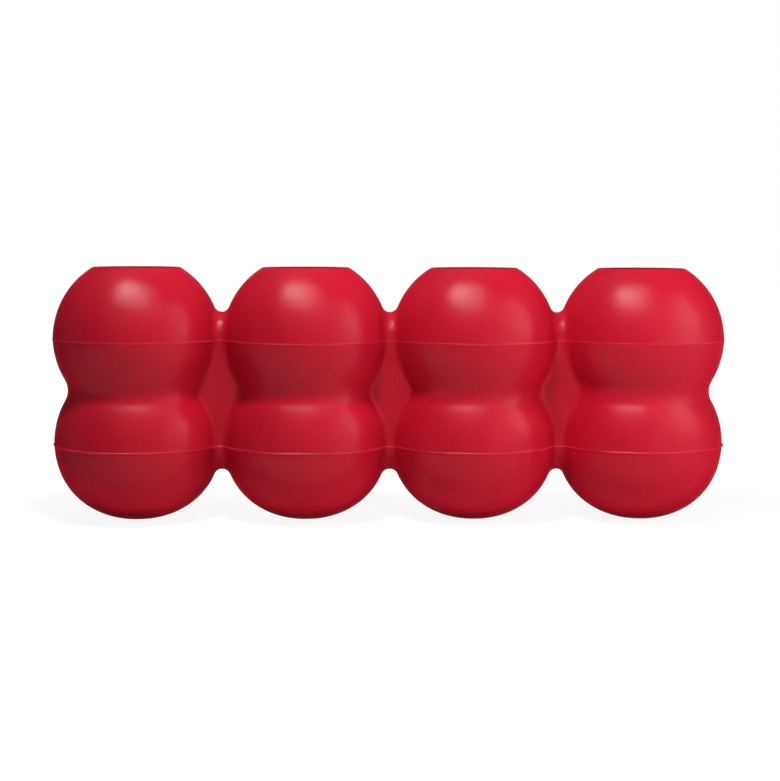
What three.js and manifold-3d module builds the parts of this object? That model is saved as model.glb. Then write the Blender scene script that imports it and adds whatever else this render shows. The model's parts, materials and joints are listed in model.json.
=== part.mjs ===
// A chew toy for a dog that is stuffed with treats, moulded in red rubber.
//
// Four hollow columns stand in a row with their open mouths up. Each column is two round lobes,
// one above the other, drawn in to a neck between them. A thick web joins each column to the next,
// and the toy bends and twists there.
//
// Millimetres. +X runs along the row, +Y through its thickness and +Z up along the columns.
// The origin lies on the ground, under the middle of the row.

import * as THREE from 'three';
import { mergeVertices } from 'three/addons/utils/BufferGeometryUtils.js';
import Module from 'manifold-3d';

// The row
const COLUMN_COUNT = 4;
const LOBE_GAP = 0.7; // between the lobes of neighbouring columns

// The outside of a column
const LOBE_RADIUS = 21; // both lobes, at their equators
const LOBE_SPACING = 26.15; // from the lower lobe's equator up to the upper lobe's
const NECK_FILLET_RADIUS = 5.4; // hollow curve between the two lobes
const DOME_DEPTH = 20; // from the lower equator to the tip that the dome has before its foot is cut
const DOME_FULLNESS = 2.15; // exponent of the dome's curve: 2 is an ellipse, and more is fuller
const FOOT_RADIUS = 3.5; // flat under the dome
const RIM_RADIUS = 10.9; // outer edge of the flat-cut top

// The inside of a column
const WALL = 7; // rubber around the hollow
const MOUTH_RADIUS = 6.8;

// The webs
const WEB_THICKNESS = 14.5;
const WEB_EDGE_RADIUS = 6.2; // rounding of a web's upper and lower edges
const WEB_ABOVE = 6.65; // how far a web reaches above the upper equators
const WEB_BELOW = 7.2; // how far a web reaches below the lower equators
const WEB_CLEARANCE = 0.25; // from a web to each column that it joins

// The facets of round stretches
const COLUMN_SIDES = 28;
const LOBE_FACET = Math.PI / 13;
const FILLET_FACET = Math.PI / 7.5;
const WEB_EDGE_STEPS = 4; // along the rounding of each web edge

// The rubber
const RUBBER_COLOUR = 0xbf122b;
const RUBBER_ROUGHNESS = 0.36;

// Heights, and the distance from column to column
const LOWER_EQUATOR =
  DOME_DEPTH * (1 - (FOOT_RADIUS / LOBE_RADIUS) ** DOME_FULLNESS) ** (1 / DOME_FULLNESS);
const UPPER_EQUATOR = LOWER_EQUATOR + LOBE_SPACING;
const NECK_HEIGHT = (LOWER_EQUATOR + UPPER_EQUATOR) / 2;
const RIM_HEIGHT = UPPER_EQUATOR + Math.sqrt(LOBE_RADIUS ** 2 - RIM_RADIUS ** 2);
const COLUMN_PITCH = 2 * LOBE_RADIUS + LOBE_GAP;

// The neck's fillet touches both lobes. Its centre lies outside the column, level with the neck.
const FILLET_CENTRE = Math.sqrt((LOBE_RADIUS + NECK_FILLET_RADIUS) ** 2 - (LOBE_SPACING / 2) ** 2);
const FILLET_ANGLE = Math.atan2(LOBE_SPACING / 2, FILLET_CENTRE);

const wasm = await Module();
wasm.setup();

// Points along an arc in the half plane of radius and height, both ends included.
function arc(centreRadius, centreHeight, radius, from, to, facet) {
  const steps = Math.max(1, Math.ceil(Math.abs(to - from) / facet));
  const points = [];
  for (let step = 0; step <= steps; step++) {
    const angle = from + ((to - from) * step) / steps;
    points.push(
      new THREE.Vector2(
        centreRadius + radius * Math.cos(angle),
        centreHeight + radius * Math.sin(angle),
      ),
    );
  }
  return points;
}

// Points along the dome, from bottomRadius at its bottom out to the lower equator.
function domeSide(radius, depth, bottomRadius) {
  const power = 2 / DOME_FULLNESS;
  const bottom = Math.acos((bottomRadius / radius) ** (1 / power));
  const steps = Math.ceil(bottom / LOBE_FACET);
  const points = [];
  for (let step = 0; step <= steps; step++) {
    const angle = bottom * (1 - step / steps);
    points.push(
      new THREE.Vector2(
        radius * Math.cos(angle) ** power,
        LOWER_EQUATOR - depth * Math.sin(angle) ** power,
      ),
    );
  }
  return points;
}

// A column's side from its dome up to its top, moved outwards by grow, or inwards where grow is negative.
// It starts at bottomRadius from the axis and ends at topRadius.
function columnSide(grow, bottomRadius, topRadius) {
  const radius = LOBE_RADIUS + grow;
  const depth = DOME_DEPTH + grow;
  const fillet = NECK_FILLET_RADIUS - grow;
  const top = Math.acos(topRadius / radius);
  const dome = domeSide(radius, depth, bottomRadius);
  const lower = arc(0, LOWER_EQUATOR, radius, 0, FILLET_ANGLE, LOBE_FACET);
  const neck = arc(
    FILLET_CENTRE,
    NECK_HEIGHT,
    fillet,
    Math.PI + FILLET_ANGLE,
    Math.PI - FILLET_ANGLE,
    FILLET_FACET,
  );
  const upper = arc(0, UPPER_EQUATOR, radius, -FILLET_ANGLE, top, LOBE_FACET);
  return [...dome, ...lower.slice(1), ...neck.slice(1), ...upper.slice(1)];
}

// A solid of revolution about the Z axis, with only its positions left so that its seams close.
function turned(profile) {
  const geometry = new THREE.LatheGeometry(profile, COLUMN_SIDES);
  geometry.rotateX(Math.PI / 2);
  return positionsOnly(geometry);
}

function positionsOnly(geometry) {
  geometry.deleteAttribute('normal');
  geometry.deleteAttribute('uv');
  return mergeVertices(geometry, 1e-4);
}

// The rubber of one column: its outside, its flat foot and rim, and the hollow that opens at the mouth.
function columnGeometry() {
  const outside = columnSide(0, FOOT_RADIUS, RIM_RADIUS);
  const hollow = columnSide(-WALL, 0, MOUTH_RADIUS).reverse();
  return turned([
    new THREE.Vector2(0, 0),
    ...outside,
    new THREE.Vector2(MOUTH_RADIUS, RIM_HEIGHT),
    ...hollow,
  ]);
}

// The space that a web leaves free for a column: the column's outside without its hollow.
function columnRoom() {
  return turned(columnSide(WEB_CLEARANCE, 0, 0));
}

// A web before the columns are cut out of it: a plate with rounded upper and lower edges,
// which runs from one column's axis to the next.
function plainWebGeometry() {
  const rounding = Math.min(WEB_EDGE_RADIUS, WEB_THICKNESS / 2);
  const side = WEB_THICKNESS / 2 - rounding;
  const high = UPPER_EQUATOR + WEB_ABOVE - rounding;
  const low = LOWER_EQUATOR - WEB_BELOW + rounding;
  const quarter = Math.PI / 2;
  const outline = new THREE.Shape();
  outline.absarc(side, high, rounding, 0, quarter);
  outline.absarc(-side, high, rounding, quarter, 2 * quarter);
  outline.absarc(-side, low, rounding, 2 * quarter, 3 * quarter);
  outline.absarc(side, low, rounding, 3 * quarter, 4 * quarter);
  const geometry = new THREE.ExtrudeGeometry(outline, {
    depth: COLUMN_PITCH,
    bevelEnabled: false,
    curveSegments: WEB_EDGE_STEPS,
  });
  const thickness = new THREE.Vector3(0, 1, 0);
  const height = new THREE.Vector3(0, 0, 1);
  const length = new THREE.Vector3(1, 0, 0);
  geometry.applyMatrix4(new THREE.Matrix4().makeBasis(thickness, height, length));
  geometry.translate(-COLUMN_PITCH / 2, 0, 0);
  return positionsOnly(geometry);
}

// Between a closed surface and a solid that can be cut
function toSolid(geometry) {
  return new wasm.Manifold(
    new wasm.Mesh({
      numProp: 3,
      vertProperties: new Float32Array(geometry.attributes.position.array),
      triVerts: new Uint32Array(geometry.index.array),
    }),
  );
}

function toGeometry(solid) {
  const mesh = solid.getMesh();
  const geometry = new THREE.BufferGeometry();
  geometry.setAttribute('position', new THREE.BufferAttribute(mesh.vertProperties, mesh.numProp));
  geometry.setIndex(new THREE.BufferAttribute(mesh.triVerts, 1));
  return geometry;
}

// A web with room for the columns on both sides, centred between them.
function webGeometry() {
  const room = toSolid(columnRoom());
  const left = room.translate([-COLUMN_PITCH / 2, 0, 0]);
  const right = room.translate([COLUMN_PITCH / 2, 0, 0]);
  return toGeometry(toSolid(plainWebGeometry()).subtract(left).subtract(right));
}

function piece(name, geometry, x) {
  const rubber = new THREE.MeshStandardMaterial({
    color: RUBBER_COLOUR,
    roughness: RUBBER_ROUGHNESS,
    metalness: 0,
  });
  const mesh = new THREE.Mesh(geometry, rubber);
  mesh.name = name;
  mesh.position.x = x;
  return mesh;
}

// Columns and webs along the row, numbered from the -X end
const toy = new THREE.Group();
const column = columnGeometry();
const web = webGeometry();
const firstColumn = (-COLUMN_PITCH * (COLUMN_COUNT - 1)) / 2;
for (let n = 0; n < COLUMN_COUNT; n++) {
  const x = firstColumn + n * COLUMN_PITCH;
  toy.add(piece(`treat_column_${n + 1}`, column, x));
  if (n < COLUMN_COUNT - 1) {
    toy.add(piece(`flex_web_${n + 1}`, web, x + COLUMN_PITCH / 2));
  }
}

export default toy;
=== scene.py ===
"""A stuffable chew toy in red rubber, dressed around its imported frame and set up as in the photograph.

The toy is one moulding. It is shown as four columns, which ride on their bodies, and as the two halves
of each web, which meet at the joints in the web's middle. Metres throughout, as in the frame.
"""

import json
import math

import bmesh
import bpy
import numpy as np
from mathutils import Matrix, Vector


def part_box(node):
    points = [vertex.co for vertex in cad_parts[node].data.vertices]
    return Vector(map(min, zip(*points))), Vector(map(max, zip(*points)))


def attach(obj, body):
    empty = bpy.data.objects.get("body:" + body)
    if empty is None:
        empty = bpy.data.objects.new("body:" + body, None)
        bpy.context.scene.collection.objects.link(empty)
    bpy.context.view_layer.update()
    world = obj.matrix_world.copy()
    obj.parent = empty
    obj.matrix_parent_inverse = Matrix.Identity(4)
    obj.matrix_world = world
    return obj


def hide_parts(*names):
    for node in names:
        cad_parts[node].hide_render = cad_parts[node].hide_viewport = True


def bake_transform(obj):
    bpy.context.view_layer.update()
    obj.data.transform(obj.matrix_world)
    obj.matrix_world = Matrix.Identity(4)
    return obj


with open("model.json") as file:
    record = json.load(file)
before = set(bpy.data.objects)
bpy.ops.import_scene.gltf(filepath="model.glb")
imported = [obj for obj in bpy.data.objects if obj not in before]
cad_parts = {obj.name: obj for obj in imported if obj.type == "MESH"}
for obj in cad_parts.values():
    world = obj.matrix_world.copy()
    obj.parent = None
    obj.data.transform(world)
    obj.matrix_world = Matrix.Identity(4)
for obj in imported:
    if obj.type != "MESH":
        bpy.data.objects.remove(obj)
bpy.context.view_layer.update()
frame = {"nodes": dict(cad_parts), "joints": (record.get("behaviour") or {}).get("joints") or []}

MM = 0.001

# Sizes that the frame doesn't give
RIM_RADIUS = 10.9 * MM
FOOT_RADIUS = 3.5 * MM
DOME_DEPTH = 20 * MM
DOME_FULLNESS = 2.15  # exponent of the dome's curve: 2 is an ellipse, and more is fuller
NECK_FILLET_RADIUS = 5.4 * MM
WALL = 7 * MM
MOUTH_RADIUS = 6.8 * MM
WEB_EDGE_RADIUS = 6.2 * MM

# Sizes taken from the frame
COLUMN_COUNT = sum(name.startswith("treat_column_") for name in frame["nodes"])
COLUMN_BOXES = [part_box(f"treat_column_{n + 1}") for n in range(COLUMN_COUNT)]
WEB_BOXES = [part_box(f"flex_web_{n + 1}") for n in range(COLUMN_COUNT - 1)]
COLUMN_X = [(low.x + high.x) / 2 for low, high in COLUMN_BOXES]
WEB_X = [(low.x + high.x) / 2 for low, high in WEB_BOXES]
HALF_PITCH = (COLUMN_X[1] - COLUMN_X[0]) / 2
LOBE_RADIUS = (COLUMN_BOXES[0][1].x - COLUMN_BOXES[0][0].x) / 2
RIM_HEIGHT = COLUMN_BOXES[0][1].z
WEB_HALF_THICKNESS = (WEB_BOXES[0][1].y - WEB_BOXES[0][0].y) / 2
WEB_BOTTOM = WEB_BOXES[0][0].z
WEB_TOP = WEB_BOXES[0][1].z
NECK_HEIGHT = frame["joints"][0]["pos_m"][2]
UPPER_EQUATOR = RIM_HEIGHT - math.sqrt(LOBE_RADIUS**2 - RIM_RADIUS**2)
LOWER_EQUATOR = 2 * NECK_HEIGHT - UPPER_EQUATOR

# The neck's fillet touches both lobes
HALF_SPACING = UPPER_EQUATOR - NECK_HEIGHT
FILLET_CENTRE = math.sqrt((LOBE_RADIUS + NECK_FILLET_RADIUS) ** 2 - HALF_SPACING**2)
FILLET_ANGLE = math.atan2(HALF_SPACING, FILLET_CENTRE)
FILLET_REACH = NECK_FILLET_RADIUS * math.sin(FILLET_ANGLE)

# Rounding of edges
FOOT_ROUNDING = 1.2 * MM
RIM_ROUNDING = 0.25 * MM
MOUTH_ROUNDING = 0.9 * MM
WEB_FILLET = 1.3 * MM

# The moulding lines: a thin uneven flash on a low shoulder, where the halves of the mould met.
# They sag along the row, most at SAG_X. The lower one's flash is a thick ledge across the first column's
# -X side and a lip at the row's +X end.
LOWER_SEAM = LOWER_EQUATOR - 0.74 * MM
UPPER_SEAM = UPPER_EQUATOR - 0.20 * MM
SAG = 0.12 * MM
SAG_X = -12 * MM
SAG_LENGTH = 26 * MM
UPPER_FLASH = (0.10 * MM, 0.17 * MM)  # height and half width
LOWER_FLASH = (0.16 * MM, 0.20 * MM)
FLASH_WANDER = 0.07 * MM
FLASH_UNEVENNESS = 0.5
SHOULDER_HEIGHT = 0.10 * MM
SHOULDER_WIDTH = 2.5 * MM
SHOULDER_UNEVENNESS = 0.4
LEDGE = 2.4
LEDGE_X = COLUMN_X[0] - 12.5 * MM
LEDGE_REACH = 5 * MM
LIP = 2.5
LIP_X = COLUMN_X[-1] + 19 * MM
LIP_FADE = 2 * MM

# The ripples that make the moulding lines uneven
WANDER_LENGTHS = (11 * MM, 5.3 * MM)
FLASH_LENGTHS = (17 * MM, 6.1 * MM, 2.3 * MM)
SHOULDER_LENGTHS = (19 * MM, 8 * MM)
RIPPLE_SLANT = 1.7  # how much faster a ripple changes in depth than along the row
RIPPLE_SHIFT = 2.3  # radians between one length's sine and the next

# How far each side of a web's middle the moulding belongs to the web's pieces
WEB_REACH = 7 * MM

# Fineness of the meshes
SIDES = 180
LOBE_STEP = math.radians(3.0)
FILLET_STEP = math.radians(6.0)
FAN_STEP = math.radians(4.0)
CORE_STEP = 0.8 * MM
ROUNDING_STEPS = 6
SEAM_OFFSETS = np.array([0.06, 0.12, 0.18, 0.24, 0.3, 0.37, 0.46, 0.6, 0.8, 1.15, 1.7, 2.6]) * MM
SEAM_CLEARANCE = 0.3 * MM  # other points keep this far from the fine ones beside the seams
ROUNDING_CLEARANCE = 1.2  # and this many roundings from a rounded edge
WEB_STATIONS = 26
WEB_CROWDING = 1.35  # above 1, the stations crowd towards a web's middle
HALVINGS = 44  # of the search for the skin along a ray
FIELD_STEP = 0.01 * MM
NORMAL_STEP = 0.004 * MM


# The outer shape of the moulding, as functions of place


def side_radius(z):
    """A column's outer radius at height z, without its moulding lines."""
    sunk = np.clip((LOWER_EQUATOR - z) / DOME_DEPTH, 0, 1)
    dome = LOBE_RADIUS * (1 - sunk**DOME_FULLNESS) ** (1 / DOME_FULLNESS)
    lower = np.sqrt(np.clip(LOBE_RADIUS**2 - (z - LOWER_EQUATOR) ** 2, 0, None))
    upper = np.sqrt(np.clip(LOBE_RADIUS**2 - (z - UPPER_EQUATOR) ** 2, 0, None))
    neck = FILLET_CENTRE - np.sqrt(np.clip(NECK_FILLET_RADIUS**2 - (z - NECK_HEIGHT) ** 2, 0, None))
    radius = np.where(z < NECK_HEIGHT, lower, upper)
    radius = np.where(z < LOWER_EQUATOR, dome, radius)
    return np.where(np.abs(z - NECK_HEIGHT) < FILLET_REACH, neck, radius)


def ripple(x, y, lengths):
    """An uneven wave from -1 to 1 along the toy's outside, made of one sine for each length."""
    slanted = x + RIPPLE_SLANT * y
    waves = [np.sin(slanted / length + RIPPLE_SHIFT * k) for k, length in enumerate(lengths)]
    return sum(waves) / len(waves)


def thickening(x):
    """How much thicker than elsewhere the lower flash is, near the ends of the row."""
    ledge = LEDGE * np.exp(-(((x - LEDGE_X) / LEDGE_REACH) ** 2))
    lip = LIP / (1 + np.exp((LIP_X - x) / LIP_FADE))
    return ledge + lip


def seam_height(x, y, z):
    """How far the moulding lines stand out at a place."""
    height = np.zeros_like(z)
    sag = SAG * np.cos((x - SAG_X) / SAG_LENGTH)
    for seam, (flash_height, flash_width) in ((LOWER_SEAM, LOWER_FLASH), (UPPER_SEAM, UPPER_FLASH)):
        off = np.abs(z - seam + sag - FLASH_WANDER * ripple(x + seam, y, WANDER_LENGTHS))
        flash = 1 + FLASH_UNEVENNESS * ripple(x - seam, y, FLASH_LENGTHS)
        shoulder = 1 + SHOULDER_UNEVENNESS * ripple(x + 2 * seam, y, SHOULDER_LENGTHS)
        if seam == LOWER_SEAM:
            flash = flash + thickening(x)
        height = height + flash_height * flash * np.exp(-((off / flash_width) ** 2))
        height = height + SHOULDER_HEIGHT * shoulder * np.exp(-off / SHOULDER_WIDTH)
    return height


def column_distance(x, y, z, column_x):
    """Distance to a column's side, nearly exact close to it."""
    slope = (side_radius(z + FIELD_STEP) - side_radius(z - FIELD_STEP)) / (2 * FIELD_STEP)
    return (np.hypot(x - column_x, y) - side_radius(z)) / np.sqrt(1 + slope**2)


def web_distance(y, z):
    """Distance to a plate with rounded upper and lower edges."""
    aside = np.abs(y) - WEB_HALF_THICKNESS + WEB_EDGE_RADIUS
    beyond = np.abs(z - (WEB_TOP + WEB_BOTTOM) / 2) - (WEB_TOP - WEB_BOTTOM) / 2 + WEB_EDGE_RADIUS
    outside = np.hypot(np.clip(aside, 0, None), np.clip(beyond, 0, None))
    inside = np.clip(np.maximum(aside, beyond), None, 0)
    return outside + inside - WEB_EDGE_RADIUS


def moulding_distance(x, y, z, web_x):
    """Distance to the outer skin near a web: the web and its two columns, with a fillet in each corner."""
    parts = [
        column_distance(x, y, z, web_x - HALF_PITCH),
        column_distance(x, y, z, web_x + HALF_PITCH),
        web_distance(y, z),
    ]
    inside = [np.clip(WEB_FILLET - part, 0, None) for part in parts]
    nearest = np.minimum.reduce(parts)
    filled = np.sqrt(sum(part**2 for part in inside))
    return np.maximum(nearest, WEB_FILLET) - filled - seam_height(x, y, z)


def gradient(field, points):
    """Unit gradients of field(x, y, z) at an array of points."""
    axes = np.eye(3) * NORMAL_STEP
    slopes = [field(*(points + axis).T) - field(*(points - axis).T) for axis in axes]
    vectors = np.stack(slopes, axis=1)
    return vectors / np.linalg.norm(vectors, axis=1, keepdims=True)


# Columns


def spread(start, end, step):
    """Even values from start to end, no more than a step apart."""
    count = max(1, math.ceil(abs(end - start) / step))
    return np.linspace(start, end, count + 1)


def dome_curve(radius, depth, bottom_radius, step):
    """Points of radius and height from the bottom of a dome out to the lower equator."""
    power = 2 / DOME_FULLNESS
    angles = spread(math.acos((bottom_radius / radius) ** (1 / power)), 0, step)
    across = radius * np.cos(angles) ** power
    heights = LOWER_EQUATOR - depth * np.sin(angles) ** power
    return np.stack([across, heights], axis=1)


def arc(centre, radius, angles):
    """Points of radius and height along an arc."""
    return np.stack([centre[0] + radius * np.cos(angles), centre[1] + radius * np.sin(angles)], axis=1)


def side_curve(grow, bottom_radius, top_radius, lobe_step):
    """A column's side from its dome up to its top, moved outwards by grow, or inwards if grow is negative."""
    radius = LOBE_RADIUS + grow
    top = math.acos(top_radius / radius)
    neck = spread(math.pi + FILLET_ANGLE, math.pi - FILLET_ANGLE, FILLET_STEP)[1:]
    return np.concatenate(
        [
            dome_curve(radius, DOME_DEPTH + grow, bottom_radius, lobe_step),
            arc((0, LOWER_EQUATOR), radius, spread(0, FILLET_ANGLE, lobe_step)[1:]),
            arc((FILLET_CENTRE, NECK_HEIGHT), NECK_FILLET_RADIUS - grow, neck),
            arc((0, UPPER_EQUATOR), radius, spread(-FILLET_ANGLE, top, lobe_step)[1:]),
        ]
    )


def outer_curve():
    """The outside from the foot's edge to the rim's edge, with points close together beside the seams."""
    curve = side_curve(0, FOOT_RADIUS, RIM_RADIUS, LOBE_STEP)
    heights = curve[:, 1]
    beside = np.concatenate([-SEAM_OFFSETS[::-1], [0.0], SEAM_OFFSETS])
    fine = np.concatenate([seam + beside for seam in (LOWER_SEAM, UPPER_SEAM)])
    clear = np.min(np.abs(heights[:, None] - fine), axis=1) > SEAM_CLEARANCE
    far = np.min(np.abs(heights[:, None] - [LOWER_SEAM, UPPER_SEAM]), axis=1) > SEAM_OFFSETS[-1]
    fine_points = np.stack([side_radius(fine), fine], axis=1)
    merged = np.concatenate([curve[clear & far], fine_points])
    return merged[np.argsort(merged[:, 1])]


def rounded(before, corner, after, rounding):
    """Points of a curve that rounds off the corner between two straight runs."""
    start = corner + (before - corner) / np.linalg.norm(before - corner) * rounding
    end = corner + (after - corner) / np.linalg.norm(after - corner) * rounding
    share = np.linspace(0, 1, ROUNDING_STEPS + 1)[:, None]
    return (1 - share) ** 2 * start + 2 * share * (1 - share) * corner + share**2 * end


def column_profile():
    """The outline that turns into a column, from the foot's middle to the hollow's floor.

    Also returns which of its points lie on the outside between the foot and the rim, and how many
    points come before the cut face of the rim.
    """
    outside = outer_curve()
    hollow = side_curve(-WALL, 0, MOUTH_RADIUS, 2 * LOBE_STEP)[::-1]
    foot_edge = outside[0]
    rim_edge = outside[-1]
    foot_middle = np.array([0, foot_edge[1]])
    mouth_edge = np.array([MOUTH_RADIUS, RIM_HEIGHT])
    from_foot = np.linalg.norm(outside - foot_edge, axis=1)
    from_rim = np.linalg.norm(outside - rim_edge, axis=1)
    clear_of_foot = from_foot > ROUNDING_CLEARANCE * FOOT_ROUNDING
    clear_of_rim = from_rim > ROUNDING_CLEARANCE * RIM_ROUNDING
    body = outside[clear_of_foot & clear_of_rim]
    foot = rounded(foot_middle, foot_edge, body[0], FOOT_ROUNDING)
    rim = rounded(body[-1], rim_edge, mouth_edge, RIM_ROUNDING)
    mouth = rounded(rim_edge, mouth_edge, hollow[0], MOUTH_ROUNDING)
    profile = np.concatenate([[foot_middle], foot, body, rim, mouth, hollow])
    on_side = np.zeros(len(profile), bool)
    on_side[1 + len(foot):1 + len(foot) + len(body)] = True
    before_cut = 1 + len(foot) + len(body) + len(rim) // 2
    return profile, on_side, before_cut


def profile_normals(profile):
    """Normals of an outline, to the right of the way that it runs."""
    lengths = np.concatenate([[0], np.cumsum(np.linalg.norm(np.diff(profile, axis=0), axis=1))])
    along = np.gradient(profile, lengths, axis=0)
    normals = np.stack([along[:, 1], -along[:, 0]], axis=1)
    return normals / np.linalg.norm(normals, axis=1, keepdims=True)


def turned(profile, column_x):
    """Vertices, faces and normals of a profile that turns about a column's axis, closed at both poles."""
    angles = np.arange(SIDES) * 2 * math.pi / SIDES
    ring = np.stack([np.cos(angles), np.sin(angles), np.zeros(SIDES)], axis=1)
    up = np.array([0.0, 0.0, 1.0])

    def around(pairs):
        return (pairs[:, None, :1] * ring + pairs[:, None, 1:] * up).reshape(-1, 3)

    between = profile[1:-1]
    rows = len(between)
    index = np.arange(rows * SIDES).reshape(rows, SIDES)
    beside = np.roll(index, -1, axis=1)
    quads = np.stack([index[:-1], beside[:-1], beside[1:], index[1:]], axis=-1).reshape(-1, 4)
    bottom = np.full(SIDES, rows * SIDES)
    first_fan = np.stack([bottom, beside[0], index[0]], axis=1)
    last_fan = np.stack([bottom + 1, index[-1], beside[-1]], axis=1)
    poles = np.array([up * profile[0, 1], up * profile[-1, 1]])
    vertices = np.concatenate([around(between), poles]) + np.array([column_x, 0, 0])
    normals = np.concatenate([around(profile_normals(profile)[1:-1]), [-up, up]])
    return vertices, quads.tolist() + first_fan.tolist() + last_fan.tolist(), normals


def raise_seams(vertices, normals, side, column_x):
    """Puts the moulding lines on a column's side, and gives the side its exact normals."""
    x, y, z = vertices[side].T
    away = np.stack([x - column_x, y], axis=1)
    away /= np.linalg.norm(away, axis=1, keepdims=True)
    vertices[side, :2] += away * seam_height(x, y, z)[:, None]

    def raised_distance(x, y, z):
        return column_distance(x, y, z, column_x) - seam_height(x, y, z)

    normals[side] = gradient(raised_distance, vertices[side])


# Meshes with exact normals

NORMAL_LAYER = "skin_normal"
CUT_SNAP = 1e-7
ON_CUT = 1e-6  # how close to a cut plane a face's middle lies if the face is part of the cut
FACES_CUT = 0.999  # least X part of such a face's normal


def new_mesh(name, vertices, faces, normals):
    """A mesh that keeps its exact normals in a layer, which a cut interpolates."""
    mesh = bpy.data.meshes.new(name)
    mesh.from_pydata(vertices.tolist(), [], faces)
    layer = mesh.attributes.new(NORMAL_LAYER, "FLOAT_VECTOR", "POINT")
    layer.data.foreach_set("vector", normals.astype(np.float32).ravel())
    return mesh


def cut_flat(mesh, plane_x, keep_side):
    """Cuts a mesh at a plane across the row, keeps the side that keep_side points to, and closes the cut."""
    bm = bmesh.new()
    bm.from_mesh(mesh)
    bmesh.ops.bisect_plane(
        bm,
        geom=bm.verts[:] + bm.edges[:] + bm.faces[:],
        dist=CUT_SNAP,
        plane_co=(plane_x, 0, 0),
        plane_no=(-keep_side, 0, 0),
        clear_outer=True,
    )
    open_edges = [edge for edge in bm.edges if edge.is_boundary]
    bmesh.ops.contextual_create(bm, geom=open_edges)
    bmesh.ops.recalc_face_normals(bm, faces=bm.faces[:])
    bm.to_mesh(mesh)
    bm.free()


def turn_faces_out(mesh):
    bm = bmesh.new()
    bm.from_mesh(mesh)
    bmesh.ops.recalc_face_normals(bm, faces=bm.faces[:])
    bm.to_mesh(mesh)
    bm.free()


def smooth_skin(mesh, cut_planes):
    """Shades the skin by its exact normals, and leaves the faces on the cut planes flat."""
    layer = mesh.attributes[NORMAL_LAYER]
    normals = np.empty(len(mesh.vertices) * 3, np.float32)
    layer.data.foreach_get("vector", normals)
    normals = normals.reshape(-1, 3)
    normals /= np.linalg.norm(normals, axis=1, keepdims=True)
    loop_normals = np.empty((len(mesh.loops), 3), np.float32)
    for polygon in mesh.polygons:
        at_plane = any(abs(polygon.center.x - x) < ON_CUT for x in cut_planes)
        on_cut = at_plane and abs(polygon.normal.x) > FACES_CUT
        polygon.use_smooth = not on_cut
        for loop in polygon.loop_indices:
            vertex = mesh.loops[loop].vertex_index
            loop_normals[loop] = polygon.normal if on_cut else normals[vertex]
    mesh.attributes.remove(layer)
    mesh.normals_split_custom_set(loop_normals.tolist())


def add_piece(mesh, node, materials):
    """A visible piece that stands in for a node of the frame."""
    piece = bpy.data.objects.new(mesh.name, mesh)
    bpy.context.collection.objects.link(piece)
    for material in materials:
        mesh.materials.append(material)
    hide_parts(node)
    return piece


def make_column(n, moulded, trimmed_shaded):
    """A column whose outside is moulded rubber, and whose rim and hollow are cut rubber with a duller gloss
    and a darker red, which is painted shade.
    """
    column_x = COLUMN_X[n]
    profile, on_side, before_cut = column_profile()
    vertices, faces, normals = turned(profile, column_x)
    side = np.concatenate([np.repeat(on_side[1:-1], SIDES), [False, False]])
    raise_seams(vertices, normals, side, column_x)
    mesh = new_mesh(f"column_{n + 1}_skin", vertices, faces, normals)
    foot_fan = len(faces) - 2 * SIDES
    for face, polygon in enumerate(mesh.polygons):
        in_hollow = face >= foot_fan + SIDES
        past_cut = face < foot_fan and face // SIDES >= before_cut - 1
        polygon.material_index = int(in_hollow or past_cut)
    cuts = []
    if n > 0:
        cuts.append((WEB_X[n - 1] + WEB_REACH, 1))
    if n < COLUMN_COUNT - 1:
        cuts.append((WEB_X[n] - WEB_REACH, -1))
    for plane_x, keep_side in cuts:
        cut_flat(mesh, plane_x, keep_side)
    smooth_skin(mesh, [plane_x for plane_x, _ in cuts])
    piece = add_piece(mesh, f"treat_column_{n + 1}", [moulded, trimmed_shaded])
    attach(piece, f"column_{n + 1}")


# Webs


def web_ring():
    """Starting points and directions, in Y and Z, of the rays that meet the skin around a web's core.

    The core is an upright line between two points a little beyond the seams. Rays leave it level along
    its sides and fan out round its ends.
    """
    beyond = SEAM_OFFSETS[-1]
    core_low = LOWER_SEAM - beyond
    core_high = UPPER_SEAM + beyond
    fine = np.concatenate([-SEAM_OFFSETS[::-1], [0.0], SEAM_OFFSETS])
    between = spread(LOWER_SEAM + beyond, UPPER_SEAM - beyond, CORE_STEP)[1:-1]
    levels = np.concatenate([LOWER_SEAM + fine, between, UPPER_SEAM + fine])
    fan = spread(0, math.pi, FAN_STEP)[1:-1]
    right = [((0, z), (1, 0)) for z in levels]
    top = [((0, core_high), (math.cos(a), math.sin(a))) for a in fan]
    left = [((0, z), (-1, 0)) for z in levels[::-1]]
    bottom = [((0, core_low), (-math.cos(a), -math.sin(a))) for a in fan]
    rays = right + top + left + bottom
    return np.array([ray[0] for ray in rays]), np.array([ray[1] for ray in rays])


def web_skin(web_x):
    """Rings of points on the moulding's skin across a web, from one column to the next."""
    starts, directions = web_ring()
    share = np.linspace(0, 1, WEB_STATIONS + 1)
    offsets = WEB_REACH * share**WEB_CROWDING
    stations = np.concatenate([-offsets[:0:-1], offsets])
    x = np.repeat(web_x + stations, len(starts))
    start = np.tile(starts, (len(stations), 1))
    direction = np.tile(directions, (len(stations), 1))
    near = np.zeros(len(x))
    far = np.full(len(x), LOBE_RADIUS)
    for _ in range(HALVINGS):
        middle = (near + far) / 2
        at = start + direction * middle[:, None]
        outside = moulding_distance(x, at[:, 0], at[:, 1], web_x) > 0
        far = np.where(outside, middle, far)
        near = np.where(outside, near, middle)
    at = start + direction * near[:, None]
    points = np.stack([x, at[:, 0], at[:, 1]], axis=1)
    return points, len(stations), len(starts)


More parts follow.
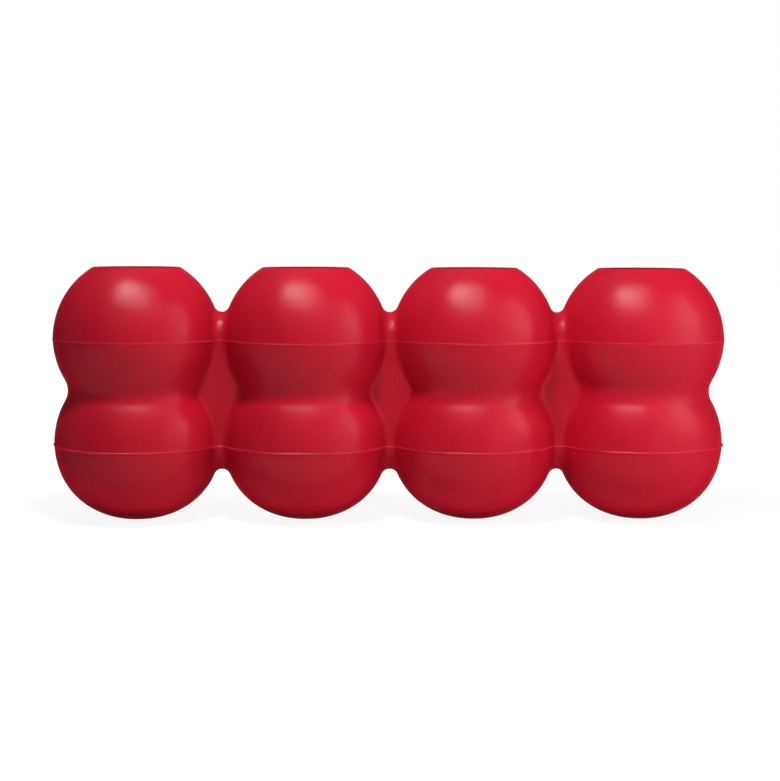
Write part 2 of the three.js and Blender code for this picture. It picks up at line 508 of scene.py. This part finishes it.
def make_web(n, moulded):
    """The two halves of a web, each between a column and the web's middle."""
    web_x = WEB_X[n]
    points, station_count, ring_count = web_skin(web_x)
    normals = gradient(lambda x, y, z: moulding_distance(x, y, z, web_x), points)
    index = np.arange(station_count * ring_count).reshape(station_count, ring_count)
    middle = station_count // 2
    halves = (
        ("left", slice(0, middle + 1), f"column_{n + 1}", f"web_{n + 1}", -1),
        ("right", slice(middle, station_count), f"web_{n + 1}", f"column_{n + 2}", 1),
    )
    for side, rows, first_body, second_body, direction in halves:
        chosen = index[rows].ravel()
        own = index[rows] - chosen[0]
        beside = np.roll(own, -1, axis=1)
        quads = np.stack([own[:-1], beside[:-1], beside[1:], own[1:]], axis=-1).reshape(-1, 4)
        faces = quads.tolist() + [own[0].tolist(), own[-1].tolist()]
        mesh = new_mesh(f"web_{n + 1}_{side}_skin", points[chosen], faces, normals[chosen])
        turn_faces_out(mesh)
        smooth_skin(mesh, [web_x, web_x + direction * WEB_REACH])
        piece = add_piece(mesh, f"flex_web_{n + 1}", [moulded])
        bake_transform(piece)


# Materials

MOULDED = {
    "roughness": 0.28,
    "shine": 0.05,
    "red": (0.53, 0.0066, 0.0250),
    "deep_red": (0.50, 0.0056, 0.0225),
}
# The rims and hollows: a duller gloss for their cut finish, and a darker red that is painted shade in the
# hollows and on the rims
TRIMMED_SHADED = {
    "roughness": 0.55,
    "shine": 0.02,
    "red": (0.39, 0.0048, 0.0180),
    "deep_red": (0.34, 0.0038, 0.0150),
}

# The paler red painted along the moulding lines as a highlight where the flash catches the light, its reach,
# the share of that which has it in full, and its patches
FLASH_HIGHLIGHT_RED = (0.64, 0.024, 0.048)
FLASH_HIGHLIGHT_REACH = 0.32 * MM
FLASH_HIGHLIGHT_CORE = 0.3
FLASH_HIGHLIGHT_PATCH_SIZE = 9 * MM
FLASH_HIGHLIGHT_PATCH_NOISE = (0.35, 0.65)
FLASH_HIGHLIGHT_PATCH_SHARE = (0.15, 0.8)

# Sizes of the blotches, and the part of a noise's range that counts
CLOUD_SIZE = 16 * MM
SWELL_SIZE = 5 * MM
GRAIN_SIZE = 0.8 * MM
NOISE_SPAN = (0.3, 0.7)

# Pits, with sizes as shares of their spacing
PIT_SPACING = 5 * MM
PITTED_FROM = 0.55  # of the spaces, counted from 0 to 1, the ones above this have a pit
LARGEST_PIT = 0.075
SMALLEST_PIT = 0.01
PIT_EDGE = 0.02

# Scuffs: long thin streaks of a stretched noise
SCUFF_LENGTH = 6 * MM
SCUFF_TURN = (0.3, 0.2, 0.5)
SCUFF_THINNING = (1, 1, 14)
SCUFF_NOISE = (0.66, 0.74)

# Changes of roughness
CLOUD_DULLNESS = 0.03
GRAIN_DULLNESS = 0.03
SCUFF_DULLNESS = 0.12
GRAZING = (0.25, 0.65)  # turned from view, 1 being edge-on, where gloss starts to dull and is dullest
GRAZING_DULLNESS = 0.4
GRAZING_SHINE = 0.3  # share of the shine that is left edge-on

# Heights of the fine relief
SWELL_HEIGHT = 0.05 * MM
GRAIN_HEIGHT = 0.005 * MM
SCUFF_DEPTH = 0.006 * MM
PIT_DEPTH = 0.03 * MM


def add_node(tree, kind, inputs=None, **settings):
    """A node with its settings, and its inputs set to values or linked to other nodes' outputs."""
    node = tree.nodes.new(kind)
    for name, value in settings.items():
        setattr(node, name, value)
    for name, value in (inputs or {}).items():
        if isinstance(value, bpy.types.NodeSocket):
            tree.links.new(value, node.inputs[name])
        else:
            node.inputs[name].default_value = value
    return node


def add_noise(tree, place, grain_size, detail=2.0, roughness=0.5):
    """Noise from 0 to 1 whose blotches are about grain_size across."""
    inputs = {"Vector": place, "Scale": 1 / grain_size, "Detail": detail, "Roughness": roughness}
    return add_node(tree, "ShaderNodeTexNoise", inputs).outputs["Fac"]


def add_range(tree, value, from_low, from_high, to_low, to_high, smooth=False):
    """A value carried from one range to another, and held at its ends."""
    inputs = {
        "Value": value,
        "From Min": from_low,
        "From Max": from_high,
        "To Min": to_low,
        "To Max": to_high,
    }
    kind = "SMOOTHSTEP" if smooth else "LINEAR"
    return add_node(tree, "ShaderNodeMapRange", inputs, interpolation_type=kind).outputs["Result"]


def add_math(tree, operation, first, second):
    return add_node(tree, "ShaderNodeMath", {0: first, 1: second}, operation=operation).outputs["Value"]


def add_colour_mix(tree, share, first, second):
    node = add_node(tree, "ShaderNodeMix", data_type="RGBA")
    for socket, value in (("Factor_Float", share), ("A_Color", first), ("B_Color", second)):
        wanted = next(item for item in node.inputs if item.identifier == socket)
        if isinstance(value, bpy.types.NodeSocket):
            tree.links.new(value, wanted)
        else:
            wanted.default_value = (*value, 1)
    return next(item for item in node.outputs if item.identifier == "Result_Color")


def add_bump(tree, height, distance, below=None):
    inputs = {"Height": height, "Distance": distance}
    if below is not None:
        inputs["Normal"] = below
    return add_node(tree, "ShaderNodeBump", inputs).outputs["Normal"]


def seam_highlight_band(tree, place, half_width):
    """1 on the moulding lines and 0 away from them, which places the painted highlight on the flash."""
    parts = add_node(tree, "ShaderNodeSeparateXYZ", {"Vector": place}).outputs
    along = add_math(tree, "DIVIDE", add_math(tree, "SUBTRACT", parts["X"], SAG_X), SAG_LENGTH)
    sag = add_math(tree, "MULTIPLY", add_math(tree, "COSINE", along, 0), SAG)
    height = add_math(tree, "ADD", parts["Z"], sag)
    bands = []
    for seam in (LOWER_SEAM, UPPER_SEAM):
        away = add_math(tree, "ABSOLUTE", add_math(tree, "SUBTRACT", height, seam), 0)
        bands.append(add_range(tree, away, FLASH_HIGHLIGHT_CORE * half_width, half_width, 1, 0, smooth=True))
    return add_math(tree, "MAXIMUM", *bands)


def make_rubber(name, roughness, shine, red, deep_red):
    """Red rubber: faintly clouded colour, a painted highlight along the moulding lines, uneven gloss, fine
    mould grain, and a few pits and scuffs.
    """
    material = bpy.data.materials.new(name)
    material.use_nodes = True
    tree = material.node_tree
    shader = tree.nodes["Principled BSDF"]
    place = add_node(tree, "ShaderNodeTexCoord").outputs["Object"]

    clouds = add_noise(tree, place, CLOUD_SIZE, detail=4, roughness=0.6)
    grain = add_noise(tree, place, GRAIN_SIZE, detail=3)
    swell = add_noise(tree, place, SWELL_SIZE, detail=1)

    cells = add_node(tree, "ShaderNodeTexVoronoi", {"Vector": place, "Scale": 1 / PIT_SPACING}).outputs
    rare = add_node(tree, "ShaderNodeSeparateColor", {"Color": cells["Color"]}).outputs["Red"]
    pit_size = add_range(tree, rare, PITTED_FROM, 1, 0, LARGEST_PIT)
    from_edge = add_math(tree, "SUBTRACT", cells["Distance"], pit_size)
    pit_depth = add_range(tree, from_edge, -PIT_EDGE, PIT_EDGE, 1, 0)
    pits = add_math(tree, "MULTIPLY", pit_depth, add_math(tree, "GREATER_THAN", pit_size, SMALLEST_PIT))

    stretching = {"Vector": place, "Rotation": SCUFF_TURN, "Scale": SCUFF_THINNING}
    stretched = add_node(tree, "ShaderNodeMapping", stretching).outputs["Vector"]
    streaks = add_noise(tree, stretched, SCUFF_LENGTH, detail=4, roughness=0.7)
    scuffs = add_range(tree, streaks, *SCUFF_NOISE, 0, 1, smooth=True)

    # A paler red along the moulding lines, in patches: a painted highlight on the flash
    flash = seam_highlight_band(tree, place, FLASH_HIGHLIGHT_REACH)
    patches = add_noise(tree, place, FLASH_HIGHLIGHT_PATCH_SIZE)
    uneven = add_range(tree, patches, *FLASH_HIGHLIGHT_PATCH_NOISE, *FLASH_HIGHLIGHT_PATCH_SHARE)
    clouded = add_colour_mix(tree, add_range(tree, clouds, *NOISE_SPAN, 0, 1), deep_red, red)
    coloured = add_colour_mix(tree, add_math(tree, "MULTIPLY", flash, uneven), clouded, FLASH_HIGHLIGHT_RED)
    tree.links.new(coloured, shader.inputs["Base Color"])

    satin = add_range(tree, clouds, *NOISE_SPAN, roughness - CLOUD_DULLNESS, roughness + CLOUD_DULLNESS)
    speckles = add_range(tree, grain, *NOISE_SPAN, -GRAIN_DULLNESS, GRAIN_DULLNESS)
    speckled = add_math(tree, "ADD", satin, speckles)
    dulled = add_math(tree, "ADD", speckled, add_math(tree, "MULTIPLY", scuffs, SCUFF_DULLNESS))
    facing = add_node(tree, "ShaderNodeLayerWeight", {"Blend": 0.5}).outputs["Facing"]
    grazing = add_range(tree, facing, *GRAZING, 0, GRAZING_DULLNESS, smooth=True)
    tree.links.new(add_math(tree, "ADD", dulled, grazing), shader.inputs["Roughness"])
    level = add_range(tree, facing, *GRAZING, shine, shine * GRAZING_SHINE, smooth=True)
    tree.links.new(level, shader.inputs["Specular IOR Level"])

    swollen = add_bump(tree, swell, SWELL_HEIGHT)
    grained = add_bump(tree, grain, GRAIN_HEIGHT, swollen)
    scuffed = add_bump(tree, scuffs, -SCUFF_DEPTH, grained)
    pitted = add_bump(tree, pits, -PIT_DEPTH, scuffed)
    tree.links.new(pitted, shader.inputs["Normal"])
    return material


# Stage, light and camera

FLOOR_HALF_WIDTH = 4.0
FLOOR_BOUNCE = 0.78  # how much of the light on the floor goes back up to the toy
FLOOR_GLOW_NEAR = 0.91  # what the floor shows by itself under the toy, beside the light that it catches
FLOOR_GLOW_FAR = 1.0  # and away from the toy
FLOOR_CATCH = 0.15  # share of the lamps' light that the floor shows, which draws the shadow
SHADOW_REACH = (0.03, 0.16)  # from the row, where the floor's glow starts to rise and where it is full
WORLD_LIGHT = 0.025


def seen_directly(tree):
    """1 for rays that show the background, straight or in a shiny or clear surface, and 0 for light."""
    path = add_node(tree, "ShaderNodeLightPath").outputs
    shiny = add_math(tree, "MAXIMUM", path["Is Glossy Ray"], path["Is Transmission Ray"])
    return add_math(tree, "MAXIMUM", path["Is Camera Ray"], shiny)


def make_floor():
    """A pale floor that reads as white and keeps the toy's shadow."""
    mesh = bpy.data.meshes.new("floor")
    half = FLOOR_HALF_WIDTH
    corners = [(-half, -half, 0), (half, -half, 0), (half, half, 0), (-half, half, 0)]
    mesh.from_pydata(corners, [], [(0, 1, 2, 3)])
    floor = bpy.data.objects.new("floor", mesh)
    bpy.context.collection.objects.link(floor)
    material = bpy.data.materials.new("floor_white")
    material.use_nodes = True
    tree = material.node_tree
    tree.nodes.clear()
    bounce = add_node(tree, "ShaderNodeBsdfDiffuse", {"Color": (FLOOR_BOUNCE,) * 3 + (1,)}).outputs["BSDF"]
    catch = add_node(tree, "ShaderNodeBsdfDiffuse", {"Color": (FLOOR_CATCH,) * 3 + (1,)}).outputs["BSDF"]
    place = add_node(tree, "ShaderNodeTexCoord").outputs["Object"]
    across_row = HALF_PITCH / (COLUMN_X[-1] + LOBE_RADIUS)
    squeezing = {0: place, 1: (across_row, 1, 1)}
    squeezed = add_node(tree, "ShaderNodeVectorMath", squeezing, operation="MULTIPLY").outputs["Vector"]
    away = add_node(tree, "ShaderNodeVectorMath", {0: squeezed}, operation="LENGTH").outputs["Value"]
    strength = add_range(tree, away, *SHADOW_REACH, FLOOR_GLOW_NEAR, FLOOR_GLOW_FAR, smooth=True)
    glow = add_node(tree, "ShaderNodeEmission", {"Strength": strength}).outputs["Emission"]
    shown = add_node(tree, "ShaderNodeAddShader", {0: catch, 1: glow}).outputs["Shader"]
    choice = {0: seen_directly(tree), 1: bounce, 2: shown}
    mixed = add_node(tree, "ShaderNodeMixShader", choice).outputs["Shader"]
    add_node(tree, "ShaderNodeOutputMaterial", {"Surface": mixed})
    mesh.materials.append(material)


def make_world():
    """A white surround that lights the toy only a little."""
    world = bpy.data.worlds.new("studio")
    world.use_nodes = True
    tree = world.node_tree
    tree.nodes.clear()
    light = add_node(tree, "ShaderNodeBackground", {"Strength": WORLD_LIGHT}).outputs["Background"]
    full_white = {"Color": (1, 1, 1, 1), "Strength": 1}
    white = add_node(tree, "ShaderNodeBackground", full_white).outputs["Background"]
    choice = {0: seen_directly(tree), 1: light, 2: white}
    mixed = add_node(tree, "ShaderNodeMixShader", choice).outputs["Shader"]
    add_node(tree, "ShaderNodeOutputWorld", {"Surface": mixed})
    bpy.context.scene.world = world


# Each lamp's direction from the toy's middle, in degrees right of the front and up, then its distance,
# width, height and power in watts. The first ones light the rubber, and the others show in its gloss.
LIGHTS = {
    "key": (-17, 65, 0.26, 0.04, 0.04, 0.455),
    "left_sky": (-60, 60, 1.5, 0.40, 0.40, 1.4),
    "top_fill": (20, 50, 0.20, 0.07, 0.07, 0.044),
    "front_fill": (34, 5, 0.20, 0.07, 0.07, 0.050),
    "right_window": (60, 20, 0.20, 0.07, 0.07, 0.095),
    "right_side": (75, 5, 0.45, 0.15, 0.15, 0.15),
    "right_far": (80, 4, 1.5, 0.40, 0.40, 1.7),
    "back_fill": (180, 40, 0.60, 0.80, 0.60, 1.35),
}
SHINES = {
    "left_softbox": (-42, 66.5, 0.53, 0.19, 0.165, 3.3),
    "key_softbox": (-17, 64, 0.49, 0.30, 0.30, 5.5),
    "top_softbox": (4, 50, 0.222, 0.13, 0.125, 0.15),
    "front_screen": (9, 38, 0.57, 1.2, 0.57, 2.7),
    "right_softbox": (68, 18, 0.185, 0.08, 0.077, 0.045),
    "right_panel": (72, 28, 0.45, 0.12, 0.30, 0.65),
    "right_screen": (58, 5.5, 0.195, 0.187, 0.37, 0.42),
    "low_screen": (20, 2, 0.60, 1.1, 0.22, 0.55),
}

# A lamp that lies on the floor in front and shows in the gloss of the undersides
FLOOR_SCREEN_SIZE = (0.50, 0.33)
FLOOR_SCREEN_Y = -0.19
FLOOR_SCREEN_HEIGHT = 2 * MM
FLOOR_SCREEN_BRIGHTNESS = 1.5


def add_lamp(name, location, away, size, power, only_shines):
    """A soft rectangular lamp that faces against the direction away, and doesn't show itself.

    One that only shines is found by light sampling alone: rays that the gloss sends out would also bring
    its light to the matte red.
    """
    light = bpy.data.lights.new(name, "AREA")
    light.shape = "RECTANGLE"
    light.size, light.size_y = size
    light.energy = power
    light.cycles.use_multiple_importance_sampling = not only_shines
    lamp = bpy.data.objects.new(name, light)
    bpy.context.collection.objects.link(lamp)
    lamp.location = location
    lamp.rotation_euler = (-away).to_track_quat("-Z", "Y").to_euler()
    lamp.visible_camera = False
    lamp.visible_diffuse = not only_shines
    lamp.visible_glossy = only_shines


def make_lamp(name, right, up, distance, width, height, power, only_shines):
    """A lamp that points at the toy's middle."""
    turn = Matrix.Rotation(math.radians(right), 3, "Z") @ Matrix.Rotation(math.radians(-up), 3, "X")
    away = turn @ Vector((0, -1, 0))
    place = Vector((0, 0, NECK_HEIGHT)) + away * distance
    add_lamp(name, place, away, (width, height), power, only_shines)


def make_floor_screen():
    place = Vector((0, FLOOR_SCREEN_Y, FLOOR_SCREEN_HEIGHT))
    power = FLOOR_SCREEN_BRIGHTNESS * math.pi * FLOOR_SCREEN_SIZE[0] * FLOOR_SCREEN_SIZE[1]
    add_lamp("floor_screen", place, Vector((0, 0, -1)), FLOOR_SCREEN_SIZE, power, only_shines=True)


# The camera, found from the toy's outline and its moulding lines
IMAGE_WIDTH = 780
SENSOR_WIDTH = 36  # mm
FOCAL_PIXELS = 1602.3
CAMERA_OFFSET = (-11.16 * MM, -407.4 * MM, 25.86 * MM)  # from the middle of the upper equators
CAMERA_YAW = math.radians(1.58)
CAMERA_PITCH = math.radians(5.5)
CAMERA_ROLL = math.radians(0.19)


def make_camera():
    data = bpy.data.cameras.new("camera")
    data.sensor_fit = "HORIZONTAL"
    data.sensor_width = SENSOR_WIDTH
    data.lens = SENSOR_WIDTH * FOCAL_PIXELS / IMAGE_WIDTH
    camera = bpy.data.objects.new("camera", data)
    bpy.context.collection.objects.link(camera)
    bpy.context.scene.camera = camera
    middle = Vector((sum(COLUMN_X) / COLUMN_COUNT, 0, UPPER_EQUATOR))
    level = Matrix.Rotation(math.pi / 2, 4, "X")
    turn = Matrix.Rotation(-CAMERA_YAW, 4, "Z") @ Matrix.Rotation(-CAMERA_PITCH, 4, "X")
    roll = Matrix.Rotation(CAMERA_ROLL, 4, "Z")
    camera.matrix_world = Matrix.Translation(middle + Vector(CAMERA_OFFSET)) @ turn @ level @ roll


moulded = make_rubber("red_rubber", **MOULDED)
trimmed_shaded = make_rubber("trimmed_shaded_rubber", **TRIMMED_SHADED)
for n in range(COLUMN_COUNT):
    make_column(n, moulded, trimmed_shaded)
for n in range(COLUMN_COUNT - 1):
    make_web(n, moulded)
make_floor()
for name, lamp in LIGHTS.items():
    make_lamp(name, *lamp, only_shines=False)
for name, lamp in SHINES.items():
    make_lamp(name, *lamp, only_shines=True)
make_floor_screen()
make_world()
make_camera()
bpy.context.scene.view_settings.view_transform = "Standard"
